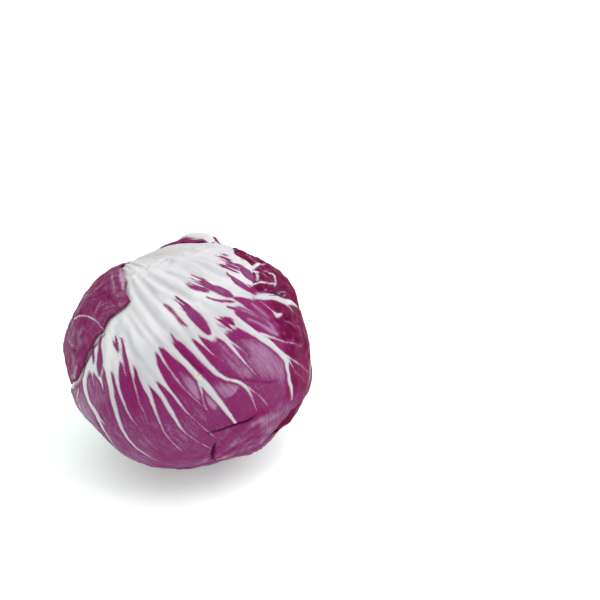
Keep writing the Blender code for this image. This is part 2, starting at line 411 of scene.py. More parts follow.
class Spots:
    """Places on a leaf: their directions, degrees from the stem and round from the leaf's middle, points on a
    sphere of the head's size in mm, and how many mm they lie inside the leaf's margin."""

    # Of these fields, the second is the tissue's tone with painted sheen and painted shade in it, the fourth
    # is painted shade greying the white, and the fifth painted shadow in cuts
    FIELDS = ("pale", "tone_and_light", "cream", "hollow_shade", "cut_shadows")

    def __init__(self, leaf, towards, inward):
        self.leaf = leaf
        self.towards = towards
        self.inward = inward
        self.places = SPHERE * towards
        self.from_stem = np.degrees(np.arccos(np.clip(towards @ STEM, -1, 1)))
        turn = np.degrees(np.arctan2(towards @ SIDE, towards @ FACE))
        self.turn = (turn - leaf.turn + 180) % 360 - 180
        # Veins fan out from the stem faster than the lines straight away from it do
        self.fan = self.turn * np.exp((100 - self.from_stem) / VEINS_TURN_OVER)
        self.pale = np.full(len(towards), -FAR)
        self.short = np.full(len(towards), FAR)
        self.relief = np.zeros(len(towards))
        self.tone_and_light = np.full(len(towards), 0.4)
        self.cream = np.zeros(len(towards))
        self.hollow_shade = np.zeros(len(towards))
        self.cut_shadows = np.zeros(len(towards))

    def lanes(self, across, along):
        """Points whose noise runs in lanes along the veins."""
        return np.stack((across * self.fan, along * self.from_stem, 0 * self.fan), 1)

    def fields(self):
        """What the finish reads at each place."""
        read = {name: getattr(self, name) for name in self.FIELDS}
        read["grain"] = self.lanes(1, 1) + (0, 0, self.leaf.seed)
        return read

    def line(self, route):
        """A smooth line through given places, as points on the sphere, and its widths in mm."""
        knots = np.array(route, float)
        knots = np.vstack((2 * knots[0] - knots[1], knots, 2 * knots[-1] - knots[-2]))
        smooth = []
        for a, b, c, d in zip(knots, knots[1:], knots[2:], knots[3:]):
            for t in (0, 0.25, 0.5, 0.75):
                bend = 2 * a - 5 * b + 4 * c - d + t * (3 * (b - c) + d - a)
                smooth.append(b + 0.5 * t * (c - a + t * bend))
        smooth.append(knots[-2])
        smooth = np.array(smooth)
        return SPHERE * direction(smooth[:, 0], smooth[:, 1]), np.maximum(smooth[:, 2], 0.05)

    def inside(self, route):
        """How many mm each place lies inside a band along this route, and the band's width there."""
        line, widths = self.line(route)
        middle = line.mean(0)
        span = np.linalg.norm(line - middle, axis=1).max() + widths.max() / 2 + FAR
        near = np.flatnonzero(((self.places - middle) ** 2).sum(1) < span * span)
        spots = self.places[near]
        depth = np.full(len(near), -FAR)
        width = np.zeros(len(near))
        for start, end, first, last in zip(line, line[1:], widths, widths[1:]):
            run = end - start
            share = np.clip((spots - start) @ run / (run @ run), 0, 1)
            gap = np.linalg.norm(spots - start - share[:, None] * run, axis=1)
            here = first + (last - first) * share
            nearer = here / 2 - gap > depth
            depth = np.where(nearer, here / 2 - gap, depth)
            width = np.where(nearer, here, width)
        every = np.full(len(self.places), -FAR)
        every[near] = depth
        widths = np.zeros(len(self.places))
        widths[near] = width
        return every, widths

    def add_ribs(self, routes, stand=0.24):
        """White ribs: each route is (degrees from the stem, degrees round, width in mm) at a few places."""
        for route in routes:
            depth, width = self.inside(route)
            # Thin veins stay pinkish, and the white runs on a little way down both sides of a rib
            depth = depth - (0.12 + 0.22 * ease(width, 1, 0)) * (depth > -FAR)
            blend = 0.12 + 0.5 * np.exp(-((self.short / 4.5) ** 2))
            self.pale = 0.5 * (self.pale + depth + np.sqrt((self.pale - depth) ** 2 + blend))
            lifted = stand * np.sqrt(width) * ease(depth, -0.45, 0.45 * width + 0.1)
            self.relief = np.maximum(self.relief, lifted)

    def add_patches(self, routes, crisp=0.8, frayed=0.0):
        """Purple patches in the white: the less crisp, the more they break up into dots, and fraying parts
        them into streaks along the veins."""
        streaks = frayed * Waves(63, 4.5).at(self.lanes(2.4, 0.4))
        for route in routes:
            depth, _ = self.inside(route)
            self.pale = np.minimum(self.pale, -crisp * (depth + streaks))

    def pleat(self, routes, height):
        """Smooth ridges, or hollows where the height is negative, with painted shade in the hollows."""
        for route in routes:
            depth, width = self.inside(route)
            bent = ease(depth, -1.3, 0.5 * width) * np.minimum(width / 2, 1)
            self.relief += height * bent
            if height < 0:
                self.hollow_shade = np.maximum(self.hollow_shade, 0.9 * bent)

    def fold(self, routes, depth, soft):
        """Grooves, or ridges where the depth is negative: each route's widths are the groove's."""
        for route in routes:
            inside, width = self.inside(route)
            self.relief -= depth * ease(inside, -soft, 0.5 * width + 0.01)

    def stain(self, field, routes, strength, soft):
        """Adds to a field inside bands along these routes, and fades out over so many mm round them."""
        amount = np.zeros(len(self.places))
        for route in routes:
            depth, _ = self.inside(route)
            amount = np.maximum(amount, ease(depth, -soft, soft))
        field += strength * amount

    def mark(self, routes, strength, low, high):
        """Painted shadow in cuts and cracks: near-black, from nothing so many mm inside the route's band to
        full strength.
        """
        for route in routes:
            depth, _ = self.inside(route)
            self.cut_shadows = np.maximum(self.cut_shadows, strength * ease(depth, low, high))

    def blot(self, field, spots):
        """Round stains, each (degrees from the stem, degrees round, radius in mm, strength)."""
        for from_stem, turn, radius, strength in spots:
            gap = np.linalg.norm(self.places - SPHERE * direction(from_stem, turn), axis=1)
            field += strength * np.exp(-((gap / radius) ** 2))


def leaf_finish(name, tones, roughness):
    """Leaf tissue: purple through these colours as its tone goes from 0 to 1, with painted sheen at the lilac
    end and painted shade at the dark end, fine streaks along its veins, white ribs with feathered edges, and
    painted shade and shadow."""
    finish, shader, start = new_finish(name, roughness, subsurface=0.08, radius=(1.0, 0.25, 0.5))
    shader.inputs["Specular IOR Level"].default_value = 0.02
    pale = start.read("pale")
    tone_and_light = start.read("tone_and_light")
    cream = start.read("cream")
    hollow_shade = start.read("hollow_shade")
    cut_shadows = start.read("cut_shadows")
    grain = start.read("grain", 1)
    place = start.node("TexCoord", None, None, 3)
    fibres = start.noise(grain.stretch((0.95, 0.085, 1)), 1, 3, 0.6)
    threads = start.noise(grain.stretch((2.6, 0.16, 1)), 1, 2)
    grit = start.noise(place, 900, 2)
    mottle = start.noise(place, 85, 4, 0.62)
    clouds = start.noise(place, 30, 2)
    cell_walls = {"Vector": grain.stretch((0.62, 0.30, 1)), "Scale": 1.0}
    cells = start.node("TexVoronoi", {"feature": "DISTANCE_TO_EDGE"}, cell_walls)
    edge = pale + (fibres - 0.5) * 1.15 + (threads - 0.5) * 0.6 + (grit - 0.5) * 0.4
    white = edge.between(-0.35, 0.55)
    beside_rib = edge.between(-1.7, 0.1)
    veinlets = (1 - cells.between(0.0, 0.09)) * clouds.between(0.3, 0.6)
    # The tone runs up to lilac where sheen is painted and down to dark crimson where shade is painted
    varied_tone_and_light = tone_and_light + (mottle - 0.5) * 0.42 + (fibres - 0.5) * 0.56 + (clouds - 0.5) * 0.3
    varied_tone_and_light = varied_tone_and_light + veinlets * 0.14 - beside_rib * tone_and_light * 0.35
    tissue = start.node("ValToRGB", {"stops": tones}, {"Fac": varied_tone_and_light})
    tissue = (beside_rib * 0.16).blend(tissue, ROSE)
    flesh = (threads * 0.7 + mottle * 0.5).between(0.35, 0.8).blend(RIB_SHADE, RIB_WHITE)
    # Painted shade: the white greys in hollows and on the lower ribs
    flesh = (hollow_shade * (0.3 + threads * 0.5)).blend(flesh, PAINTED_SHADE_GREY)
    flesh = cream.between(0.0, 1.2).blend(flesh, RIB_CREAM)
    flesh = (cream + (mottle - 0.5) * 0.6).between(1.1, 1.9).blend(flesh, DRIED_TAN)
    colour = white.blend(tissue, flesh)
    # Painted shadow: cuts and cracks go near-black
    colour = cut_shadows.blend(colour, CUT_SHADOW_DARK)
    start.join(shader.inputs["Base Color"], colour)
    start.join(shader.inputs["Coat Weight"], 0.25 * varied_tone_and_light.between(0.25, 1.0) * (1 - cut_shadows))
    start.join(shader.inputs["Roughness"], roughness + 0.12 * white + (mottle - 0.5) * 0.16)
    height = (threads * 0.5 + fibres * 0.5 + grit * 0.2) * (1 - white * 0.6) + mottle * 0.6
    bump = start.node("Bump", None, {"Strength": 0.42, "Distance": 0.00035, "Height": height})
    start.join(shader.inputs["Normal"], bump)
    return finish


def leaf_points(spots, lift=None):
    """Where the places lie: on the head's outline, under the leaves outside this one, with their relief."""
    covered = sum(leaf.covers(spots.towards) for leaf in spots.leaf.over)
    relief = np.clip(spots.relief, LOWEST_RELIEF, HIGHEST_RELIEF)
    relief = relief * (1 - COVERED_IS_FLATTER * np.minimum(2 * covered, 1)) + (lift(spots) if lift else 0)
    radius = head_radius(spots.towards) - spots.leaf.depth - LAYER_SINKS * covered + relief / 1000
    if spots.leaf.clasps:
        # The base swells, and then dives into the core's side
        radius += BASE_SWELLS * ease(spots.from_stem, 27, 13)
        radius -= BASE_DIVES * ease(spots.from_stem, 12, 8.5)
    points = CENTRE + radius[:, None] * spots.towards
    points[:, 2] = np.maximum(points[:, 2], LEAVES_TOUCH_FLOOR_AT)
    return points


def grid_faces(count, first, faces_out):
    """Quads over a square grid of points that starts at this one, facing out of the head or into it."""
    steps = (0, count, count + 1, 1) if faces_out else (0, 1, count + 1, count)
    corners = [first + row * count + column for row in range(count - 1) for column in range(count - 1)]
    return [tuple(corner + step for step in steps) for corner in corners]


def add_leaf(leaf, count, finish, dress, lift=None, thin=MARGIN_THICK):
    """The leaf as a closed shell: a fine grid outside, one of half the count inside, and its margin between.
    The shell thins to its margin and thickens to its base."""
    half = (count + 1) // 2
    outside, inside = leaf.spots(count), leaf.spots(half)
    for spots in (outside, inside):
        dress(spots)
    outer = leaf_points(outside, lift)
    inner = leaf_points(inside, lift)
    thick = thin + (BLADE_THICK - thin) * ease(inside.inward, 0, 5)
    thick += BASE_THICKER * ease(inside.from_stem, 34, 12)
    inner -= (thick / 1000)[:, None] * inside.towards
    inner[:, 2] = np.maximum(inner[:, 2], INNER_FACE_OVER_FLOOR)
    first = count * count
    faces = grid_faces(count, 0, True) + grid_faces(half, first, False)
    # Round the margin, two steps of the fine grid meet one of the coarse grid
    last, end = count - 1, half - 1
    for number in range(end):
        low = 2 * number
        sides = (
            ([(0, low + step) for step in range(3)], (0, number), (0, number + 1)),
            ([(low + step, last) for step in range(3)], (number, end), (number + 1, end)),
            ([(last, last - low - step) for step in range(3)], (end, end - number), (end, end - 1 - number)),
            ([(last - low - step, 0) for step in range(3)], (end - number, 0), (end - 1 - number, 0)),
        )
        for fine, near, next_near in sides:
            rim = [row * count + column for row, column in fine]
            back = [first + row * half + column for row, column in (next_near, near)]
            faces.append(tuple(rim + back))
    near_fields = outside.fields()
    far_fields = inside.fields()
    fields = {name: np.concatenate((near_fields[name], far_fields[name])) for name in near_fields}
    piece = add_piece(leaf.name + "_blade", np.vstack((outer, inner)), faces, finish, fields)
    put_in_frame(piece, leaf.name)


def fan_of_ribs(leaf, seed, count=13, spread=58, ends=150, width=2.6, begin=48):
    """Ribs as a leaf grows them: a wide midrib, side ribs that bend away from it, and thin veins off them."""
    chance = np.random.default_rng(seed)
    ribs = []
    for number in range(count):
        share = 2 * number / (count - 1) - 1
        start = share * spread + chance.uniform(-2.5, 2.5)
        wide = width * (1.15 - 0.55 * abs(share)) * chance.uniform(0.7, 1.2)
        end = ends - 34 * abs(share) + chance.uniform(-12, 8)
        drift = chance.uniform(-0.05, 0.05)
        stations = np.linspace(begin, end, 7)
        waver = np.cumsum(chance.normal(0, 0.5, 7))
        along = np.linspace(0, 1, 7)
        turns = (start + drift * (stations - begin) + waver) * np.exp((stations - 100) / VEINS_TURN_OVER)
        widths = 1.5 * wide * (1 - along) ** 1.25 + 0.22
        ribs.append(np.stack((stations, leaf.turn + turns, widths), 1))
        for _ in range(3):
            at = chance.integers(2, 5)
            way = math.copysign(1, share + chance.normal(0, 0.35))
            length = chance.uniform(10, 22)
            across = way * np.array((0, 0.3, 0.66, 1)) * length * chance.uniform(0.5, 0.9)
            thin = widths[at] * chance.uniform(0.3, 0.5)
            ribs.append(np.stack((
                stations[at] + np.array((0, 0.35, 0.7, 1)) * length,
                leaf.turn + turns[at] + across / math.sin(math.radians(min(stations[at], 140))),
                (thin, thin * 0.7, thin * 0.5, 0.2),
            ), 1))
    return ribs


def white_base(spots, ends_at, seed, amount=7):
    """The white part next to the stem, which ends so many degrees from it, unevenly."""
    edge = ends_at + amount * Waves(seed, 9).at(spots.lanes(1, 0))
    spots.pale = np.clip(edge - spots.from_stem, -FAR, FAR)


def creases(spots, seed, length):
    """1 along the lines of a random net with cells of about this length, and 0 away from them."""
    return np.maximum(0, 1 - 3 * np.abs(Waves(seed, length).at(spots.places))) ** 1.5


def crumple(spots, seed, broad=0.45, fine=0.14, pleats=0.0, based=1.0):
    """Facets from lying pressed together, small puckers, and pleats along the veins: on the white base where
    based is 1, and as high as pleats says all over."""
    spots.relief += broad * Waves(seed, 26).at(spots.places) + fine * Waves(seed + 1, 7).at(spots.places)
    pillow = 0.25 * (1 - np.exp(-np.maximum(-spots.pale, 0) / 2.2))
    spots.relief += pillow * (1 + 0.35 * Waves(seed + 2, 6).at(spots.places))
    # The thick white base is pleated, with painted shade in its hollows
    lanes = spots.lanes(1, 0.12)
    folded = Waves(seed + 4, 15).at(lanes) + 0.6 * Waves(seed + 5, 7).at(lanes)
    near = ease(spots.from_stem, 100, 60) * ease(spots.from_stem, 15, 25) * based
    spots.relief += 0.5 * near * folded
    spots.hollow_shade = np.maximum(spots.hollow_shade, 0.8 * near * ease(-folded, 0, 0.8))
    if pleats:
        spots.relief += pleats * Waves(seed + 3, 6).at(spots.lanes(1, 0.1)) * ease(spots.inward, 0, 8)


INNER_TONES = (
    (0.0, (0.221, 0.029, 0.103, 1)),
    (0.4, (0.323, 0.073, 0.184, 1)),
    (1.0, (0.441, 0.206, 0.323, 1)),
)
INNER_FINISH = leaf_finish("inner_leaf_tissue", INNER_TONES, 0.42)


def dress_hidden_leaf(spots):
    seed = spots.leaf.seed
    white_base(spots, 70, seed)
    spots.add_ribs(fan_of_ribs(spots.leaf, seed, count=9))
    crumple(spots, seed, broad=0.15)


def make_heart(depth):
    """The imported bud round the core's tip, with a recess where the core comes in."""
    rings, sides = 90, 120
    tilts = np.linspace(1, 179, rings)
    turns = np.linspace(0, 360, sides, endpoint=False)
    towards = direction(*np.meshgrid(tilts, turns, indexing="ij"))
    leaf = Leaf("heart", HIDDEN_MIDDLE, 0, HIDDEN_REACH, HIDDEN_REACH, HIDDEN_REACH, depth=depth)
    leaf.seed = 0  # its streaks lie apart from every leaf's
    spots = Spots(leaf, towards.reshape(-1, 3), np.full(rings * sides, WELL_INSIDE))
    white_base(spots, 60, 8)
    for turn in (0, 137, 274):
        bud = Leaf("bud", HIDDEN_MIDDLE, turn, HIDDEN_REACH, HIDDEN_REACH, HIDDEN_REACH)
        spots.add_ribs(fan_of_ribs(bud, 8 + turn, count=5, spread=25))
    crumple(spots, 8, broad=0.3, pleats=0.25)
    points = leaf_points(spots)
    # The recess for the core
    along = (points - CENTRE) @ STEM
    outward = points - CENTRE - along[:, None] * STEM
    wide = np.linalg.norm(outward, axis=1)
    floor = head_radius(STEM) - CORE_DEPTH - 0.0006
    recess = (wide < CORE_TIP_RADIUS + ROUND_CORE_TIP) & (along > 0)
    sunk = along - (along - floor) * ease(wide, CORE_TIP_RADIUS + ROUND_CORE_TIP, CORE_TIP_RADIUS + 0.0010)
    points = np.where(recess[:, None], CENTRE + outward + np.minimum(sunk, along)[:, None] * STEM, points)
    heart = add_piece("heart_bud", points, lathe_faces(rings, sides), INNER_FINISH, spots.fields())
    put_in_frame(heart, "heart")


def hidden_leaf(number, name):
    """A leaf under the outer ones, with so many others over it."""
    turn = FIRST_HIDDEN_TURN + number * TURN_BETWEEN_LEAVES
    depth = HIDDEN_DEPTH + number * HIDDEN_PITCH
    return Leaf(name, HIDDEN_MIDDLE, turn, HIDDEN_REACH, HIDDEN_REACH, HIDDEN_REACH, depth=depth)


make_heart(HIDDEN_DEPTH + (WRAPPER_LEAVES + INNER_LEAVES) * HIDDEN_PITCH)
for number in range(INNER_LEAVES):
    leaf = hidden_leaf(WRAPPER_LEAVES + number, f"inner_leaf_{number + 1}")
    add_leaf(leaf, HIDDEN_COUNT, INNER_FINISH, dress_hidden_leaf)


# ---- The wrapper leaves ----
# Five full-grown leaves just under the outer ones, crimson where light reached them. They hold the head
# tight, and each grows from the core's side.

DARK_CRIMSON = (0.110, 0.003, 0.036, 1)
DEEP_CRIMSON = (0.165, 0.005, 0.057, 1)
MAGENTA = (0.187, 0.010, 0.092, 1)
MAUVE = (0.180, 0.026, 0.110, 1)
# Lilac, the top of the ramp, is a painted sheen
LILAC_SHEEN = (0.309, 0.147, 0.257, 1)
OUTER_TONES = ((0.0, DARK_CRIMSON), (0.16, DEEP_CRIMSON), (0.34, MAGENTA), (0.62, MAUVE), (1.0, LILAC_SHEEN))
OUTER_FINISH = leaf_finish("outer_leaf_tissue", OUTER_TONES, 0.45)
WRAPPER_COUNT = 75

for number in range(WRAPPER_LEAVES):
    leaf = hidden_leaf(number, f"wrapper_leaf_{number + 1}")
    add_leaf(leaf, WRAPPER_COUNT, OUTER_FINISH, dress_hidden_leaf)


# ---- The back leaf, and where the six outer leaves lie ----
# Six leaves grow from the core's side and lie over one another round the head. Each but the broken one wraps
# nearly half of it. The back leaf is the innermost, and its ribs fan out from the stem over the head's back.

left_leaf = Leaf(
    "left_leaf", 48, -62, 66, 42, 36, ragged=0.6,
    edges=[(
        (24, 8), (39, 1), (50, -0.5), (57, -2.5), (64, -5.5), (70, -7), (71.5, -10), (71, -17), (70.5, -20),
        (73.8, -25), (73.6, -30), (74.8, -37), (76.3, -43), (78.2, -49), (77.6, -54), (75.6, -59),
        (73, -64.5), (70.5, -70), (67, -80), (64, -92),
    )],
)
broken_leaf = Leaf("broken_leaf", 42, 74, 8, 12, 15, ragged=0.8, over=[left_leaf])
front_leaf = Leaf(
    "front_leaf", 92, 0, 98, 92, 86, ragged=0.4, over=[left_leaf, broken_leaf],
    edges=[(
        (52, 88), (60, 78), (66, 71), (71, 63), (74, 61.5), (80, 62.5), (84.5, 61.5), (87, 58.5), (91, 56),
        (94.5, 51.5), (97, 47), (98.8, 47.6), (98.9, 51), (99.2, 54.6), (101.4, 55.2), (101.8, 57.6),
        (103.4, 59.4), (103.9, 62.5), (103, 67), (101.8, 73), (104.8, 71.5), (106, 76), (109.6, 83),
        (114, 90), (122, 96),
    )],
)
bottom_leaf = Leaf("bottom_leaf", 96, -147, 84, 80, 88, over=[left_leaf, broken_leaf, front_leaf])
right_leaf = Leaf("right_leaf", 88, 94, 88, 78, 95, over=[left_leaf, broken_leaf, front_leaf, bottom_leaf])
back_leaf = Leaf("back_leaf", 84, 164, 72, 80, 72, over=[*right_leaf.over, right_leaf])
BACK_COUNT = 211


def dress_whole_leaf(spots, seed, spread):
    """The look of a leaf with no tears: a fan of ribs out of a white base."""
    white_base(spots, 64, seed, amount=9)
    spots.add_ribs(fan_of_ribs(spots.leaf, seed, count=15, spread=spread))
    crumple(spots, seed, pleats=0.12)


def dress_back_leaf(spots):
    dress_whole_leaf(spots, 31, 62)


add_leaf(back_leaf, BACK_COUNT, OUTER_FINISH, dress_back_leaf)


# ---- The right leaf ----
# It clasps the core under the front and bottom leaves, and shows where the front leaf is torn away and at the
# head's far side: dark crimson with painted shade over it, drier than the front leaf and puckered, with thin
# white veins.

RIGHT_COUNT = 227
RIGHT_RIBS = (
    ((85.3, 55, 2.4), (84.8, 60, 2.5), (83.6, 65.5, 2), (82.2, 71, 1.7), (82.3, 77, 0.7)),
    ((74.5, 67, 0.5), (78, 69, 0.8), (82, 71.5, 0.8)),
    ((94.3, 46, 1.7), (94.7, 51.4, 1.4), (95.7, 57.6, 1.1), (96.2, 63.4, 1), (96.3, 68.2, 0.7)),
    ((101, 49, 0.9), (99.4, 55.5, 0.6)),
    ((104.8, 61, 0.8), (104.3, 66, 0.8), (103, 70, 0.7), (101.3, 75, 0.35)),
    ((86.6, 58.6, 1.8), (88, 61, 1.8)),
    ((88, 60.8, 1.1), (90.6, 58, 1.2), (93.3, 54.8, 1.1)),
    ((87.4, 67.6, 0.5), (88.2, 70.2, 0.9), (90.4, 73.8, 1.2), (92.6, 72.2, 1.2), (96.2, 68.9, 1),
     (97.6, 65, 0.5)),
    ((88.6, 64, 0.5), (91.2, 66, 0.7), (93.4, 66.4, 0.3)),
)
PALE_STREAKS = (
    ((83.5, 66, 0.8), (80, 69, 1), (76.5, 73.5, 1), (74, 80, 0.8)),
    ((74.5, 62, 0.8), (71, 68, 1), (68, 76, 0.8)),
    ((68, 68, 0.8), (71, 67, 1.2), (74, 66.5, 1), (76, 65, 0.8)),
    ((86.8, 66, 0.5), (87.5, 72, 0.6)),
)
RIGHT_CREASES = (
    ((94, 53.2, 0.5), (91, 56.6, 0.9), (88.6, 59.4, 0.8)),
    ((98.5, 56, 0.5), (99, 62, 0.5), (97.5, 67, 0.3)),
    ((94.6, 68.4, 0.6), (92, 70.6, 0.9), (90.4, 71.6, 0.6)),
    ((76, 63, 0.6), (73.6, 66, 0.6), (69, 73, 0.6)),
    ((88, 63.5, 0.4), (91.5, 64.5, 0.7), (93.5, 63.5, 0.4)),
)


def dress_right_leaf(spots):
    white_base(spots, 58, 41, amount=8)
    behind = fan_of_ribs(spots.leaf, 41, spread=60)
    spots.add_ribs([rib for rib in behind if rib[:, 1].min() > 82])
    spots.add_ribs(RIGHT_RIBS)
    crumple(spots, 41, pleats=0.10)
    # It is puckered where the front leaf's tear leaves it bare
    turn = spots.turn + spots.leaf.turn
    torn = ease(turn, 40, 50) * ease(turn, 100, 85)
    folds = creases(spots, 44, 9) + 0.5 * creases(spots, 46, 5)
    spots.relief += torn * (0.14 * Waves(45, 7).at(spots.places) - 0.35 * folds)
    spots.fold(RIGHT_CREASES, 0.9, soft=0.7)
    # Darker all over, partly its own deep crimson and partly painted shade, and darker still in its folds,
    # which is painted shade
    spots.tone_and_light -= 0.36 + torn * (0.14 + 0.2 * folds - 0.16 * Waves(47, 4).at(spots.places))
    spots.stain(spots.tone_and_light, PALE_STREAKS, 0.5, soft=0.7)
    # Painted shade along the creases
    spots.stain(spots.tone_and_light, RIGHT_CREASES, -0.5, soft=0.6)


add_leaf(right_leaf, RIGHT_COUNT, OUTER_FINISH, dress_right_leaf)


# ---- The bottom leaf ----
# It clasps the core from below and laps over the right and back leaves. The head lies on this one: its weight
# has pressed a flat spot into it, and its ribs run under the head.

BOTTOM_COUNT = 211


def dress_bottom_leaf(spots):
    dress_whole_leaf(spots, 51, 60)
    spots.tone_and_light += 0.12


add_leaf(bottom_leaf, BOTTOM_COUNT, OUTER_FINISH, dress_bottom_leaf)


# ---- The front leaf ----
# The broad leaf that wraps the head's front. It is white and pleated where it leaves the stem, and fans out
# into thick ribs with crimson between them. Its right side has torn away along a rib, and a knife has nicked
# it near its tip.

FRONT_COUNT = 281
FRONT_RIBS = (
    # The three ribs of the middle
    ((95, -5.5, 3.4), (104, -4.7, 3.3), (112, -3.8, 2.8), (120, -3.2, 2.9), (126, -3, 3.1), (132, -3.1, 2.7),
     (140, -3.5, 1.9), (149, -4.6, 1.4)),
    ((121.5, -5, 1.2), (124, -6.2, 0.9), (130, -10.2, 0.6), (137, -14, 0.3)),
    ((96, 2.3, 4.5), (103, 2.8, 3.6), (110, 3.4, 3.2), (116, 4, 2.6), (120, 4.6, 2.3), (123.5, 5.4, 1.9),
     (127, 7.6, 1.4), (129.5, 10.2, 1.3), (132, 13, 1.3), (135, 15.2, 1.3), (139, 16.4, 1), (144, 16.6, 0.7),
     (150, 16.8, 0.4)),
    ((135, 15.5, 0.8), (139.5, 19, 0.5), (143, 22, 0.45), (151, 28.5, 0.25)),
    ((98, 7.6, 4), (102, 7.3, 2.9), (106, 7.4, 1.8), (110, 8, 0.95), (114, 8.8, 0.55), (121, 12, 0.25)),
    ((101, 10, 0.5), (104, 10.7, 0.5), (107, 12.2, 0.5), (108, 13.4, 0.5), (107, 15.5, 0.4)),
    ((92, 17, 4.5), (98, 17.4, 3.6), (104, 17.2, 3), (110, 17.7, 2.5), (115, 18.9, 1.9), (119, 19.4, 1.6),
     (123, 20.3, 1), (127, 21.5, 0.7), (131, 23.3, 0.5), (138, 27.2, 0.3)),
    ((113, 19, 1), (117, 21.2, 0.7), (124.5, 24.8, 0.25)),
    # The long rib to the right, and its branches
    ((72, 13, 9), (85, 18, 8), (93, 22, 7), (101, 25, 6.3), (105, 26.3, 5), (110, 28.8, 4.4),
     (115, 32, 3.4), (119, 35.3, 3.2), (122, 38.5, 3.2), (125.5, 42.5, 3), (130, 47.3, 2.8),
     (133.5, 50.7, 2.8), (138.8, 52.3, 2), (144, 55.2, 2), (149, 60.3, 1.5), (153, 65, 0.8)),
    ((118, 36.5, 1.4), (121, 42.5, 1.1), (123.5, 48, 0.8), (125.5, 53, 0.6), (127.2, 62, 0.45),
     (128.3, 70, 0.35), (127, 74, 0.3)),
    ((131, 50, 1.3), (133, 55, 0.9), (134.8, 59.6, 0.7), (137.3, 71, 0.45), (139.3, 85, 0.3)),
    ((133.5, 53, 1), (137.5, 58.5, 0.6), (140, 62, 0.4), (143.8, 79.6, 0.2)),
    # The ribs to the left
    ((96.5, -9.4, 1), (104.2, -10.6, 0.9), (111, -11.5, 0.8), (118.5, -12.4, 0.65), (125.5, -12.2, 0.5),
     (133, -12, 0.2)),
    ((98, -15.8, 7), (101.5, -16.4, 5.4), (106, -16.9, 3.6), (110, -17.4, 2.5), (114, -18, 1.7),
     (119.5, -18.7, 1.2), (126, -20.2, 0.8), (131.8, -21.3, 0.65), (137, -22.4, 0.5), (143, -24, 0.4),
     (149, -26, 0.15)),
    ((104, -21, 4.3), (110, -21.7, 2.9), (115, -22.9, 2.2), (120, -25, 1.9), (124.5, -27, 1.6),
     (129.5, -30.2, 1.3), (134.2, -32.8, 0.8), (139, -34.6, 0.55), (146, -37.5, 0.42), (153, -41, 0.15)),
    ((97, -19.3, 4.4), (100, -20.6, 4.2), (102, -22, 3.9), (105.5, -24, 3.2), (110.8, -26.5, 2.1),
     (116, -30.2, 1.4), (121.5, -34.5, 0.95), (127, -39.5, 0.75), (133.5, -45.2, 0.6), (139.2, -51.2, 0.45),
     (147, -58, 0.15)),
    ((90, -21, 3.4), (94, -22.9, 2.4), (97, -24.2, 2.1), (100.8, -26.8, 1.3), (105.8, -30, 0.85),
     (109.8, -33.2, 0.65), (114, -35.7, 0.5), (119, -40.2, 0.4), (127, -46, 0.15)),
    ((88, -24, 1.2), (91, -25.6, 0.9), (94, -27, 0.7), (97.4, -28.9, 0.35)),
    ((88, -28.5, 4.3), (92, -31.6, 2.9), (95, -33.6, 2.2), (98, -35.4, 2), (102.2, -37.7, 1.7),
     (105.8, -40.1, 1.15), (110, -42.8, 0.85), (114.5, -44.8, 0.65), (120.5, -49, 0.5), (128, -55, 0.38),
     (136, -63, 0.15)),
    ((81, -26.8, 5), (86, -32.2, 4.1), (90, -35.2, 3.3), (95.2, -39, 3.1), (100.2, -43.2, 2.8),
     (105.5, -48.2, 2.4), (109.8, -53, 2.2), (114.8, -57.8, 1.7), (120, -62.5, 1.3), (124.8, -66.8, 1),
     (131.8, -71, 0.6), (138, -75, 0.3)),
    ((80, -37.4, 0.7), (83, -38.9, 1.5), (87, -40, 1.9), (89.8, -40.7, 1.5), (91.5, -41.9, 0.9),
     (93.4, -43.6, 0.5)),
    ((84, -32.6, 0.9), (86, -34.6, 0.8), (87.6, -37.8, 0.9), (88.2, -39.6, 1)),
    ((82.6, -41.2, 1), (84.2, -42.2, 0.7), (87.5, -45, 0.6), (89.6, -47.6, 0.35)),
    ((78, -43, 5), (82, -48.5, 4), (85, -52.3, 3.3), (88, -54.8, 3), (92, -56.4, 3.2), (95, -57.4, 3.4),
     (97.5, -59.5, 3), (101.5, -67, 2.3), (106.5, -77, 1.7), (112, -88, 1.02)),
    ((96, -57.6, 2.2), (99, -58.2, 1.6), (102, -59, 0.6)),
    ((81.6, -57, 0.8), (81.5, -61, 1.1), (80.2, -68, 1.3), (80, -78, 1.3), (82, -88, 1.2), (85, -97, 1)),
    ((76, -58, 1.2), (75.6, -63, 2), (73.5, -70, 2.4), (70, -78, 2.4)),
    # What the tear left on the right
    ((100.5, 33.5, 0.8), (104, 36, 0.7), (108, 39, 0.5), (116, 44.5, 0.3)),
    ((97, 41, 3), (100, 45, 3.4), (102.3, 50, 4.2), (103.4, 55, 4), (105.6, 60, 3.4), (107, 65, 3.2),
     (107.2, 70, 3), (108, 77, 2), (110, 84, 1.4)),
    ((108, 64, 1.4), (112, 70.5, 0.4)),
    ((104.2, 46.6, 0.6), (106.2, 48.2, 0.6), (108.6, 49.6, 0.6), (110.6, 51, 0.8)),
    ((111.2, 51.4, 1.3), (112.8, 53.4, 2.3), (112.8, 56.8, 1.3)),
    ((102.5, 62, 1.6), (102, 67, 1.2), (101.8, 73, 0.9)),
    ((116, 57.5, 0.25), (117.5, 61, 0.5), (119.5, 65, 0.3)),
    ((117, 68, 0.2), (120, 70.5, 0.45), (125, 72.5, 0.35)),
    ((80, 59, 6), (84, 60, 3)),
)
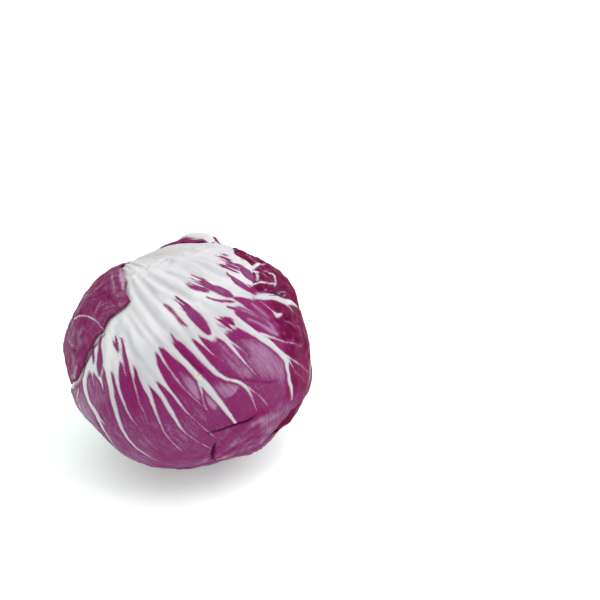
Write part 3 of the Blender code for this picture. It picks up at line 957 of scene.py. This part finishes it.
FRONT_PATCHES = (
    ((91, 12.3, 2.4), (94, 12.5, 4.3), (99, 13, 5), (104, 13.3, 3.9), (106.5, 13.5, 2)),
    ((83, 5.3, 0.8), (87, 6, 1.5), (91, 6.3, 1), (95, 6.3, 1.5), (98.5, 6.8, 0.8)),
    ((86.5, 26.3, 2.4), (90, 29.3, 4.2), (94, 32.3, 4.4), (96.5, 34, 2.2)),
    ((92, 22.8, 0.8), (95.5, 26.5, 1.2), (98, 30.5, 1.2), (99.5, 33, 0.8)),
    ((98.5, 35.5, 2), (101, 38, 4), (104.7, 41.4, 6), (108, 44.5, 6), (112, 47.5, 5)),
    ((100.5, 28.8, 0.8), (103, 31.5, 1.8), (107, 36, 3.2), (111, 40, 3.2)),
    ((84.5, 41.2, 0.8), (88, 41.6, 2.4), (91, 42.2, 4.2), (95, 44, 3.6), (100, 46.2, 1.2)),
    ((85.5, 52.8, 4), (88.5, 53, 7.6), (91.5, 52.5, 4.4), (94, 52, 1.6)),
    ((75.3, -34.6, 1.8), (78, -36.2, 2), (81, -38.3, 1)),
    ((75, -28.5, 2.4), (78, -31, 1.6), (81.5, -33.8, 3.2), (84.5, -36.5, 3.4), (87.6, -39.3, 0.8)),
    ((83.5, -43.2, 0.8), (87, -47, 3), (91, -49, 4.4)),
    ((86.4, -35.2, 0.7), (88.5, -36.8, 1.5), (91.5, -39.6, 1.8)),
    ((83, -19.5, 0.8), (86, -20.8, 1.4), (90, -23, 2.2), (95, -25.5, 2.6), (99, -28.3, 2)),
    ((96.5, -0.6, 0.5), (100, -0.9, 1.4), (105, 0, 2.2)),
    # These two are painted shadow on the front leaf under the left leaf's margin
    ((75, -25.5, 0.8), (75.6, -33, 1.2), (77.3, -41, 1.6), (80, -48.5, 1.8), (82, -53, 2)),
    ((78.4, -58, 1), (79.2, -64, 1.4), (78.5, -72, 1.6), (75, -84, 1.6)),
)
FRAYED_PATCHES = (
    ((85, 11.2, 1.2), (89, 12, 2.6), (92, 12.8, 2)),
    ((79, 25.5, 2), (83, 27, 3.2), (87, 27.5, 3)),
    ((81, 20.5, 2), (85, 22.5, 3.4), (88, 25, 2.4)),
    ((74.5, 49.5, 4.4), (77, 50, 4)),
    ((79.5, 44.5, 2.4), (82.3, 47, 5), (85, 47.5, 3)),
    ((82, 52, 2), (84, 52.5, 3)),
    ((81.2, -22, 1.4), (83.2, -22.8, 2.2), (85.5, -24, 1.2)),
    ((104, 21.5, 2.4), (107, 23, 4)),
    ((96.5, 45, 2), (98.5, 48, 3.2)),
)
FAN_RIDGES = (
    ((58, -1, 2), (65, -3.3, 2.4), (70, -4.6, 3), (80, -4.6, 3), (90, -5.6, 3), (97, -5.6, 3)),
    ((58, 1.6, 2.4), (70, 1.6, 3), (80, 2.2, 3.2), (90, 2.2, 3.2), (97, 2.5, 3.4)),
    ((61, 11, 3), (65, 12.5, 3), (70, 14.5, 3), (75, 16.2, 3), (80, 17.5, 3.2), (85, 18.5, 3.2),
     (90, 19.5, 3.4), (95, 22, 4)),
    ((64, 6.3, 1.4), (70, 7.2, 1.8), (75, 8, 2), (80, 10, 2), (83, 11.5, 1.8), (86, 12.8, 1.6),
     (91, 14.3, 1.2)),
    ((63, 25, 2), (66, 27.5, 2.4), (70, 30, 2.6), (75, 31.5, 2.8), (80, 32, 3), (85, 33.5, 3), (90, 36, 3),
     (95, 39, 3)),
    ((62, 26, 1.5), (65, 30, 2), (67, 33, 2), (70, 36, 2), (75, 38.5, 2.2), (80, 40.5, 2), (84, 41.5, 1.5)),
    ((58, 26, 2), (62, 34, 3), (65, 42, 4), (65, 50, 5), (66, 58, 5)),
    ((77, -9.4, 1), (85, -9.5, 1.5), (90, -9.4, 1.5), (96, -9.7, 1.2)),
    ((75, -14, 3), (85, -15, 4), (95, -16.5, 4)),
    ((73, -20, 3), (80, -27, 3.4), (86, -33, 3.4)),
)
FAN_HOLLOWS = (
    ((60, 0.2, 1), (66, -1, 1.6), (72, -1.6, 2), (80, -1.6, 2.4), (90, -1.6, 2.4), (96, -1.2, 1.4)),
    ((60, 4.4, 1), (66, 4.5, 1.8), (72, 4.8, 2), (78, 4.6, 1.6), (82, 5, 1.4)),
    ((63, 8.8, 1), (68, 10, 1.8), (75, 12, 2.4), (80, 13.6, 2.6), (85, 15, 2), (90, 16.4, 1)),
    ((66, 17, 1), (70, 19, 2.4), (75, 20.8, 4), (79, 22, 4.4), (84, 25, 3)),
    ((66, 24.5, 1), (70, 26, 3), (75, 26.8, 5), (79, 28, 4)),
    ((73, 32, 1), (77, 34.5, 3), (81, 37, 4), (85, 40, 3)),
    ((80, -13.5, 1), (85, -16, 2.4), (90, -18, 4), (96, -18.5, 4)),
    ((66, 29.5, 1), (69, 32, 1.4), (73, 34.5, 2), (78, 36.5, 2.4), (83, 37.6, 2.2), (87, 39, 1.4)),
    ((65, 33, 1), (68, 36.5, 1.8), (71, 39.5, 2.8), (75, 41.5, 2.8), (79, 43.5, 2)),
    ((62, 35, 1), (63, 40, 2.4), (62.5, 44, 1)),
    ((75, -7.4, 0.6), (80, -7.9, 1), (86, -7.8, 1.1), (92, -7.5, 1.1), (98, -7.1, 0.8)),
    ((76, -11, 0.8), (83, -11.4, 1), (90, -11.7, 1.1)),
    ((76, -18.5, 1), (80, -20.4, 1.2), (88, -27, 1)),
    ((91, -3.6, 0.4), (95, -3.6, 0.7), (99, -3.4, 0.7)),
)
FRONT_CREASES = (
    ((122.5, 5.5, 0.5), (126, 10, 0.6), (130, 14, 0.6), (134, 19, 0.6), (137.5, 26, 0.7), (140, 33, 0.6),
     (141, 41, 0.4)),
    ((136, -4, 0.4), (136.5, 3, 0.5), (135, 10, 0.3)),
    ((114.3, 50, 0.6), (114.8, 55, 0.8), (115.2, 61, 0.5), (116, 68, 0.3)),
    ((156, -60, 0.3), (152, -50, 0.4), (151, -41, 0.5), (152, -34, 0.3)),
)
NICKS = (
    ((142, -25, 0.15), (144.5, -20, 0.5), (147, -13, 0.9), (149, -8, 1.0), (150.5, -3, 1.1), (152, 2, 1.1),
     (152.5, 8, 0.9), (152, 13, 0.15)),
    ((149.6, -31, 0.3), (150.6, -36, 1.0), (152.5, -44.5, 1.3), (155, -60, 1.3), (155.6, -67, 0.6)),
    ((155, -63, 0.6), (156.8, -72, 1.0), (157.6, -84, 0.5)),
)
# Where the white next to the stem ends: degrees round from the front, and degrees from the stem
WHITE_ENDS = np.array((
    (-100, 60), (-80, 66), (-66, 71), (-58, 76), (-50, 77.5), (-45, 79), (-42.5, 79.5), (-40, 82),
    (-37.5, 83), (-34.5, 82.5), (-32.5, 88), (-30, 88.5), (-27, 87.5), (-24.5, 90), (-22, 93), (-20.5, 103),
    (-17, 107.5), (-14, 101), (-11.5, 96), (-8.5, 94.5), (-5, 98), (-0.5, 97), (4, 99.5), (9, 101.5),
    (12, 108), (17, 107), (22, 107.5), (26, 108), (30, 101), (34, 99.5), (40, 101), (46, 99),
    (50, 96), (56, 92), (62, 84), (80, 66), (100, 60),
))
# Painted lilac sheen on smooth bulges, and the edges that the big one starts from and the low one ends at:
# degrees round from the front, and degrees from the stem
BIG_SHEEN = (((118, 26, 5), (122, 29, 9), (127, 33, 12), (131, 37, 12), (136, 43, 9)),)
BIG_SHEEN_TOP = np.array(((20, 114.5), (24, 115.5), (30, 117.5), (36, 120)))
LOW_SHEEN = (((127, 1, 2), (130, 3, 5), (133, 6, 7), (134, 9, 5)),)
LOW_SHEEN_FOOT = np.array(((-2, 134.6), (2, 135.3), (6, 135.9), (9, 135.6), (12, 134.2), (16, 131)))
SMALL_SHEENS = (
    ((113, -8.5, 1.6), (118, -8.7, 4.2), (122, -9, 4.6), (126, -10, 3)),
    ((127, -6.2, 1), (130, -6.6, 2.6), (133.5, -7, 3)),
)
FAINT_SHEENS = (
    ((112, 14, 4), (118, 15, 7), (124, 17, 8), (130, 20, 6)),
    ((105, -7.5, 1), (111, -8, 2)),
)
STREAKY_SHEENS = (
    ((101, 31, 1.0), (105, 35, 2), (110, 40, 2.4), (115, 45, 2.4), (119, 48, 1)),
    ((104, 41.5, 0.8), (107, 43, 2.4), (110, 44.5, 3), (113, 46.5, 1.6)),
    ((110, 34, 0.8), (114, 39, 2), (118, 44, 3), (121, 48, 2)),
)
# Painted shadow along the grooves beside ribs and along the crease under the bulge
SHADOW_LINES = (
    ((102, -3.3, 0.4), (107, -2.9, 0.9), (112, -1.8, 1.3), (117, -0.3, 1.3), (119, 0.4, 0.5)),
    ((126, 7.5, 0.5), (129, 12, 0.9), (132, 15.5, 0.6)),
    ((133, 17, 0.5), (137, 25, 0.9), (140, 33, 0.7), (141, 40, 0.4)),
)
DRIED_SPOTS = (  # degrees from the stem, degrees round from the front, radius in mm, strength
    (79, 58.5, 2.6, 1.7),
    (118.5, -2.6, 1.6, 1.7),
    (130.5, 10.4, 1.6, 1.5),
    (107.5, 68, 2.2, 1.2),
    (76.5, -60, 4, 1.0),
    (74, -70, 5, 1.0),
)


def dress_front_leaf(spots):
    turn = spots.turn
    from_stem = spots.from_stem
    spots.short = np.interp(turn, *WHITE_ENDS.T) - from_stem
    well_in = 0.06 * np.maximum(spots.short, 0) ** 2
    well_past = 0.5 * np.minimum(spots.short + 4, 0)
    spots.pale = np.clip(0.20 * spots.short + well_in + well_past, -FAR, FAR)
    spots.add_ribs(FRONT_RIBS)
    spots.add_patches(FRONT_PATCHES)
    spots.add_patches(FRAYED_PATCHES, crisp=0.5, frayed=1.1)
    to_the_back = ease(turn, -70, -80)
    near_stem = ease(turn, -70, -60) * ease(from_stem, 56, 46)
    crumple(spots, 61, broad=0.35, fine=0.10, based=to_the_back + near_stem)
    spots.relief += 0.14 * ease(from_stem, 95, 70) * Waves(64, 5).at(spots.lanes(1.3, 0.07))
    spots.pleat(FAN_RIDGES, 0.85)
    # The hollows sink and get painted shade
    spots.pleat(FAN_HOLLOWS, -0.595)
    # The smooth bulge over the leaf beneath, and the crease that ends it
    bulge = np.degrees(np.arccos(np.clip(spots.towards @ direction(123, 28), -1, 1)))
    spots.relief += 1.3 * np.exp(-((bulge / 11) ** 2))
    spots.fold(FRONT_CREASES, 0.55, soft=1.0)
    spots.fold(NICKS, 1.6, soft=0.5)
    # The nicks' near-black is painted shadow in the cut
    spots.mark(NICKS, 1, -0.35, 0.05)
    puckered = ease(turn, 46, 54) * ease(from_stem, 108, 113) * ease(from_stem, 134, 126)
    folds = creases(spots, 66, 11) + 0.5 * creases(spots, 67, 6)
    spots.relief += puckered * (0.16 * Waves(68, 7).at(spots.places) - 0.55 * folds)
    torn_edge = ease(spots.inward, 2.5, 0) * ease(turn, 45, 49)
    spots.relief -= 0.5 * torn_edge
    # Magenta at the tops of the wedges, mauve below, and dark crimson to the right, deepened there by painted
    # shade
    spots.tone_and_light = 0.41 + 0.18 * ease(from_stem, 108, 138) + 0.24 * ease(from_stem, 100, 92)
    spots.tone_and_light += 0.16 * ease(turn, -28, -40) * ease(from_stem, 132, 122)
    spots.tone_and_light -= 0.54 * ease(turn, 47, 57) * ease(from_stem, 158, 146) * ease(from_stem, 99, 104)
    # The puckers' folds are darker: painted shade
    spots.tone_and_light += puckered * (0.22 * Waves(69, 4).at(spots.places) - 0.2 * folds)
    # Painted lilac sheen on the smooth bulge and lower down, up to a clear edge, and in smaller patches
    big_sheen = np.zeros(len(spots.places))
    spots.stain(big_sheen, BIG_SHEEN, 0.31, soft=5.0)
    top = np.interp(turn, *BIG_SHEEN_TOP.T)
    spots.tone_and_light += big_sheen * ease(from_stem - top, 0, 0.8)
    low_sheen = np.zeros(len(spots.places))
    spots.stain(low_sheen, LOW_SHEEN, 0.38, soft=2.6)
    foot = np.interp(turn, *LOW_SHEEN_FOOT.T)
    spots.tone_and_light += low_sheen * ease(foot - from_stem, 0, 0.6)
    spots.stain(spots.tone_and_light, SMALL_SHEENS, 0.42, soft=1.0)
    spots.stain(spots.tone_and_light, FAINT_SHEENS, 0.20, soft=2.0)
    # Painted shade on the lower front
    spots.tone_and_light -= 0.10 * ease(from_stem, 134, 142) * ease(turn, -66, -56) * ease(turn, 22, 2)
    # Painted shade along its margin at the back left
    left_rim_shade = ease(spots.inward, 2.2, 1.0) * to_the_back
    spots.tone_and_light -= 0.5 * left_rim_shade
    # More painted sheen in streaks, and painted shadow along the grooves
    spots.stain(spots.tone_and_light, STREAKY_SHEENS, 0.58, soft=1.4)
    spots.stain(spots.tone_and_light, SHADOW_LINES, -0.35, soft=0.7)
    bands = np.stack((from_stem, 0.12 * turn, 0 * turn), 1)
    spots.tone_and_light += 0.13 * Waves(70, 5).at(bands) * ease(from_stem, 146, 152) * ease(turn, 60, 40)
    spots.blot(spots.cream, DRIED_SPOTS)
    spots.cream += 0.5 * ease(from_stem, 62, 48)
    lumpy = ease(from_stem, 50, 56) * ease(from_stem, 68, 60)
    spots.relief += 0.6 * lumpy * Waves(73, 6).at(spots.places)
    # Painted shade: the ribs lower on the front are greyer than the fan, and so is a broad stretch of the fan
    # to the right
    spots.hollow_shade = np.maximum(spots.hollow_shade, 0.95 * ease(from_stem, 86, 102))
    spots.hollow_shade = np.maximum(spots.hollow_shade, 0.38 * ease(turn, 12, 32) * ease(from_stem, 94, 82))


add_leaf(front_leaf, FRONT_COUNT, OUTER_FINISH, dress_front_leaf)


# ---- The broken leaf ----
# An older leaf that snapped off a short way above the stem. Its stub stands off the head and curls, white
# along its one thick rib.

BROKEN_COUNT = 91


def dress_broken_leaf(spots):
    white_base(spots, 26, 71, amount=2)
    spots.add_ribs((((24, 76, 4), (34, 74, 3.4), (42, 72, 3.2), (50, 70.5, 3.6), (56, 69.5, 4)),))
    crumple(spots, 71, broad=0.3, fine=0.2)
    spots.tone_and_light += 0.1


def curl_up(spots):
    """Millimetres that the stub stands off the head, all but its front and its tip."""
    turn = spots.turn + spots.leaf.turn
    hump = ease(spots.from_stem, 31, 40) * ease(spots.from_stem, 59, 51)
    tucked = ease(spots.inward, 0, 4)
    tucked += (1 - tucked) * ease(turn, 82, 90)
    stands = hump * tucked * ease(turn, 66, 74) * ease(turn, 91, 81)
    return 3.5 * stands + 0.3 * Waves(72, 14).at(spots.places)


add_leaf(broken_leaf, BROKEN_COUNT, OUTER_FINISH, dress_broken_leaf, curl_up, thin=0.5)


# ---- The left leaf ----
# The outermost leaf, dry and finely wrinkled. It clasps the core and lies over the front leaf's left side,
# where it ends raggedly. At the back its ribs fan out of a white base.

LEFT_COUNT = 221
LEFT_RIBS = (
    ((50, -44.5, 1.1), (52, -40, 1.0), (54.5, -35.7, 0.9), (58, -31.7, 0.8), (62, -28.6, 0.8),
     (66, -26.4, 0.6), (70, -25.3, 0.6), (73.8, -24.7, 0.5)),
    ((50, -44.5, 0.9), (51, -52, 0.8), (56, -60, 0.5)),
)
LEFT_STREAKS = (
    ((47, -46, 1.2), (46.3, -38, 1.4), (45.2, -31, 1.2), (43.5, -25, 0.8), (42, -20, 0.4)),
    ((42, -50, 0.8), (40.5, -38, 0.8), (38.5, -28, 0.6)),
    ((37, -44, 0.8), (35, -32, 0.6)),
    ((42, -7.5, 0.6), (47, -8.6, 1), (53, -8.6, 0.8), (57, -9.5, 0.4)),
    ((57, -54, 0.3), (61, -50.5, 0.7), (66, -46, 0.5)),
    ((57.5, -20, 1), (59, -23, 2), (61, -25, 1)),
    ((73.5, -60, 2), (75, -55, 3), (74.5, -50, 2)),
    ((49.5, -39, 1), (48.5, -34, 1.4), (47.5, -30, 0.8)),
    ((52, -14, 0.3), (58, -16, 0.5), (66, -18, 0.3)),
)
LEFT_EDGE_STRIP = (((41, -0.5, 0.8), (46, -1.2, 2.2), (51, -2.2, 2.6), (56, -3.6, 2.2), (61, -5.6, 0.8)),)
LEFT_MARKS = (
    ((50.4, -40, 0.3), (51.4, -37.8, 0.5), (52.6, -36, 0.3)),
    ((57, -54, 0.4), (57, -51, 0.4)),
    ((68.9, -24.6, 0.3), (68.6, -22.6, 0.5)),
    ((66.8, -47.5, 0.5), (68.6, -45.3, 0.7)),
    ((44, -20.5, 0.4), (45, -19.3, 0.3)),
)
LEFT_CREASES = (
    ((62, -24, 0.4), (62.4, -18.5, 0.6), (65, -15, 0.4)),
    ((55, -15.5, 0.4), (62, -14, 0.7), (70, -12.5, 0.4)),
    ((64, -22, 0.3), (66.5, -17, 0.4), (69.5, -13, 0.3)),
    ((48, -28, 0.3), (52, -22, 0.5), (55, -14, 0.3)),
    ((72, -40, 0.4), (70.5, -32, 0.6), (66, -28, 0.3)),
)


def dress_left_leaf(spots):
    turn = spots.turn + spots.leaf.turn
    from_stem = spots.from_stem
    white_base(spots, 24, 81, amount=2)
    spots.pale += 12 * ease(turn, -60, -110)
    behind = fan_of_ribs(spots.leaf, 81, spread=75, ends=88, width=1.9, begin=26)
    spots.add_ribs([rib for rib in behind if rib[:, 1].max() < -74])
    spots.add_ribs(LEFT_RIBS, stand=0.4)
    crumple(spots, 81, broad=0.3, fine=0.10, based=ease(turn, -64, -78))
    # The lobe at its lower left is smoother than the rest
    lobe = ease(from_stem, 52, 57) * ease(turn, -26, -31)
    folds = (creases(spots, 84, 7) + 0.7 * creases(spots, 85, 3.6)) * ease(turn, -90, -65)
    spots.relief -= 0.5 * folds * (1 - 0.8 * lobe)
    spots.tone_and_light += 0.22 * folds * (1 - 0.6 * lobe) - 0.06 * lobe + 0.10 * Waves(86, 5).at(spots.places)
    crimson = ease(turn, -42, -37) * ease(turn, -8, -13) * ease(from_stem, 43, 47)
    spots.tone_and_light -= 0.24 * crimson * ease(from_stem, 63, 58)
    spots.stain(spots.tone_and_light, LEFT_STREAKS, 0.42, soft=0.8)
    spots.stain(spots.tone_and_light, LEFT_EDGE_STRIP, 0.65, soft=0.9)
    spots.fold(LEFT_CREASES, 0.5, soft=0.8)
    # Painted shade in the creases
    spots.stain(spots.tone_and_light, LEFT_CREASES, -0.2, soft=0.6)
    # Painted shade along the margin where it lies over the front leaf
    rim = ease(spots.inward, 1.3, 0.5) * ease(from_stem, 68, 72)
    spots.tone_and_light -= 0.7 * rim
    # Painted shadow in small cracks
    spots.mark(LEFT_MARKS, 0.8, -0.5, 0.1)


DRY_TONES = (
    (0.0, (0.155, 0.009, 0.066, 1)),
    (0.35, (0.200, 0.020, 0.100, 1)),
    (0.6, (0.200, 0.058, 0.128, 1)),
    (1.0, (0.400, 0.250, 0.355, 1)),
)
DRY_FINISH = leaf_finish("dry_leaf_tissue", DRY_TONES, 0.5)

add_leaf(left_leaf, LEFT_COUNT, DRY_FINISH, dress_left_leaf)


# ---- The floor, the lights and the camera ----
# The head lies on a white table, in soft light from all round and from two large lamps, one high up in front
# and one to the right.

FLOOR_FLAT_TO = 1.6
WALL_AT = 2.2
WALL_HEIGHT = 1.3
FLOOR_GLOW = 0.26
ROOM_LIGHT = 0.53
CAMERA_AT = (0.056865, -0.427903, 0.334850)
CAMERA_DOWN = 30
LENS = 60


def make_floor():
    """A flat floor that curves up into a low wall all round."""
    sides = 96
    bend = WALL_AT - FLOOR_FLAT_TO
    profile = [(0.02, 0.0), (0.6, 0.0), (FLOOR_FLAT_TO, 0.0)]
    for angle in np.radians(np.arange(10, 91, 10)):
        profile.append((FLOOR_FLAT_TO + bend * math.sin(angle), bend * (1 - math.cos(angle))))
    profile.append((WALL_AT, WALL_HEIGHT))
    around = np.linspace(0, 2 * math.pi, sides, endpoint=False)
    points = [
        (reach * math.cos(turn), reach * math.sin(turn), height)
        for reach, height in profile
        for turn in around
    ]
    faces = lathe_faces(len(profile), sides)[:-1]
    finish, shader, _ = new_finish("white_table", 0.6)
    shader.inputs["Base Color"].default_value = (0.90, 0.95, 0.925, 1)
    shader.inputs["Emission Color"].default_value = (0.92, 1, 0.965, 1)
    shader.inputs["Emission Strength"].default_value = FLOOR_GLOW
    add_piece("floor", points, faces, finish)


make_floor()

world = bpy.data.worlds.new("white_room")
world.use_nodes = True
world.node_tree.nodes["Background"].inputs["Color"].default_value = (1, 1, 1, 1)
world.node_tree.nodes["Background"].inputs["Strength"].default_value = ROOM_LIGHT
bpy.context.scene.world = world


def add_lamp(name, place, size, power):
    """A square lamp that faces the head."""
    lamp = bpy.data.lights.new(name, "AREA")
    lamp.size = size
    lamp.energy = power
    held = bpy.data.objects.new(name, lamp)
    bpy.context.scene.collection.objects.link(held)
    held.location = place
    held.rotation_mode = "QUATERNION"
    aim = held.location - type(held.location)(CENTRE)
    held.rotation_quaternion = aim.to_track_quat("Z", "Y")


add_lamp("lamp_above", (0.05, -0.2, 1.15), 1.0, 5.5)
add_lamp("lamp_right", (0.7, -0.1, 1.0), 1.0, 8)

camera = bpy.data.cameras.new("camera")
camera.lens = LENS
camera.clip_start = 0.01
stand = bpy.data.objects.new("camera", camera)
bpy.context.scene.collection.objects.link(stand)
stand.location = CAMERA_AT
stand.rotation_euler = (math.radians(90 - CAMERA_DOWN), 0, 0)
bpy.context.scene.camera = stand
bpy.context.scene.view_settings.view_transform = "Standard"
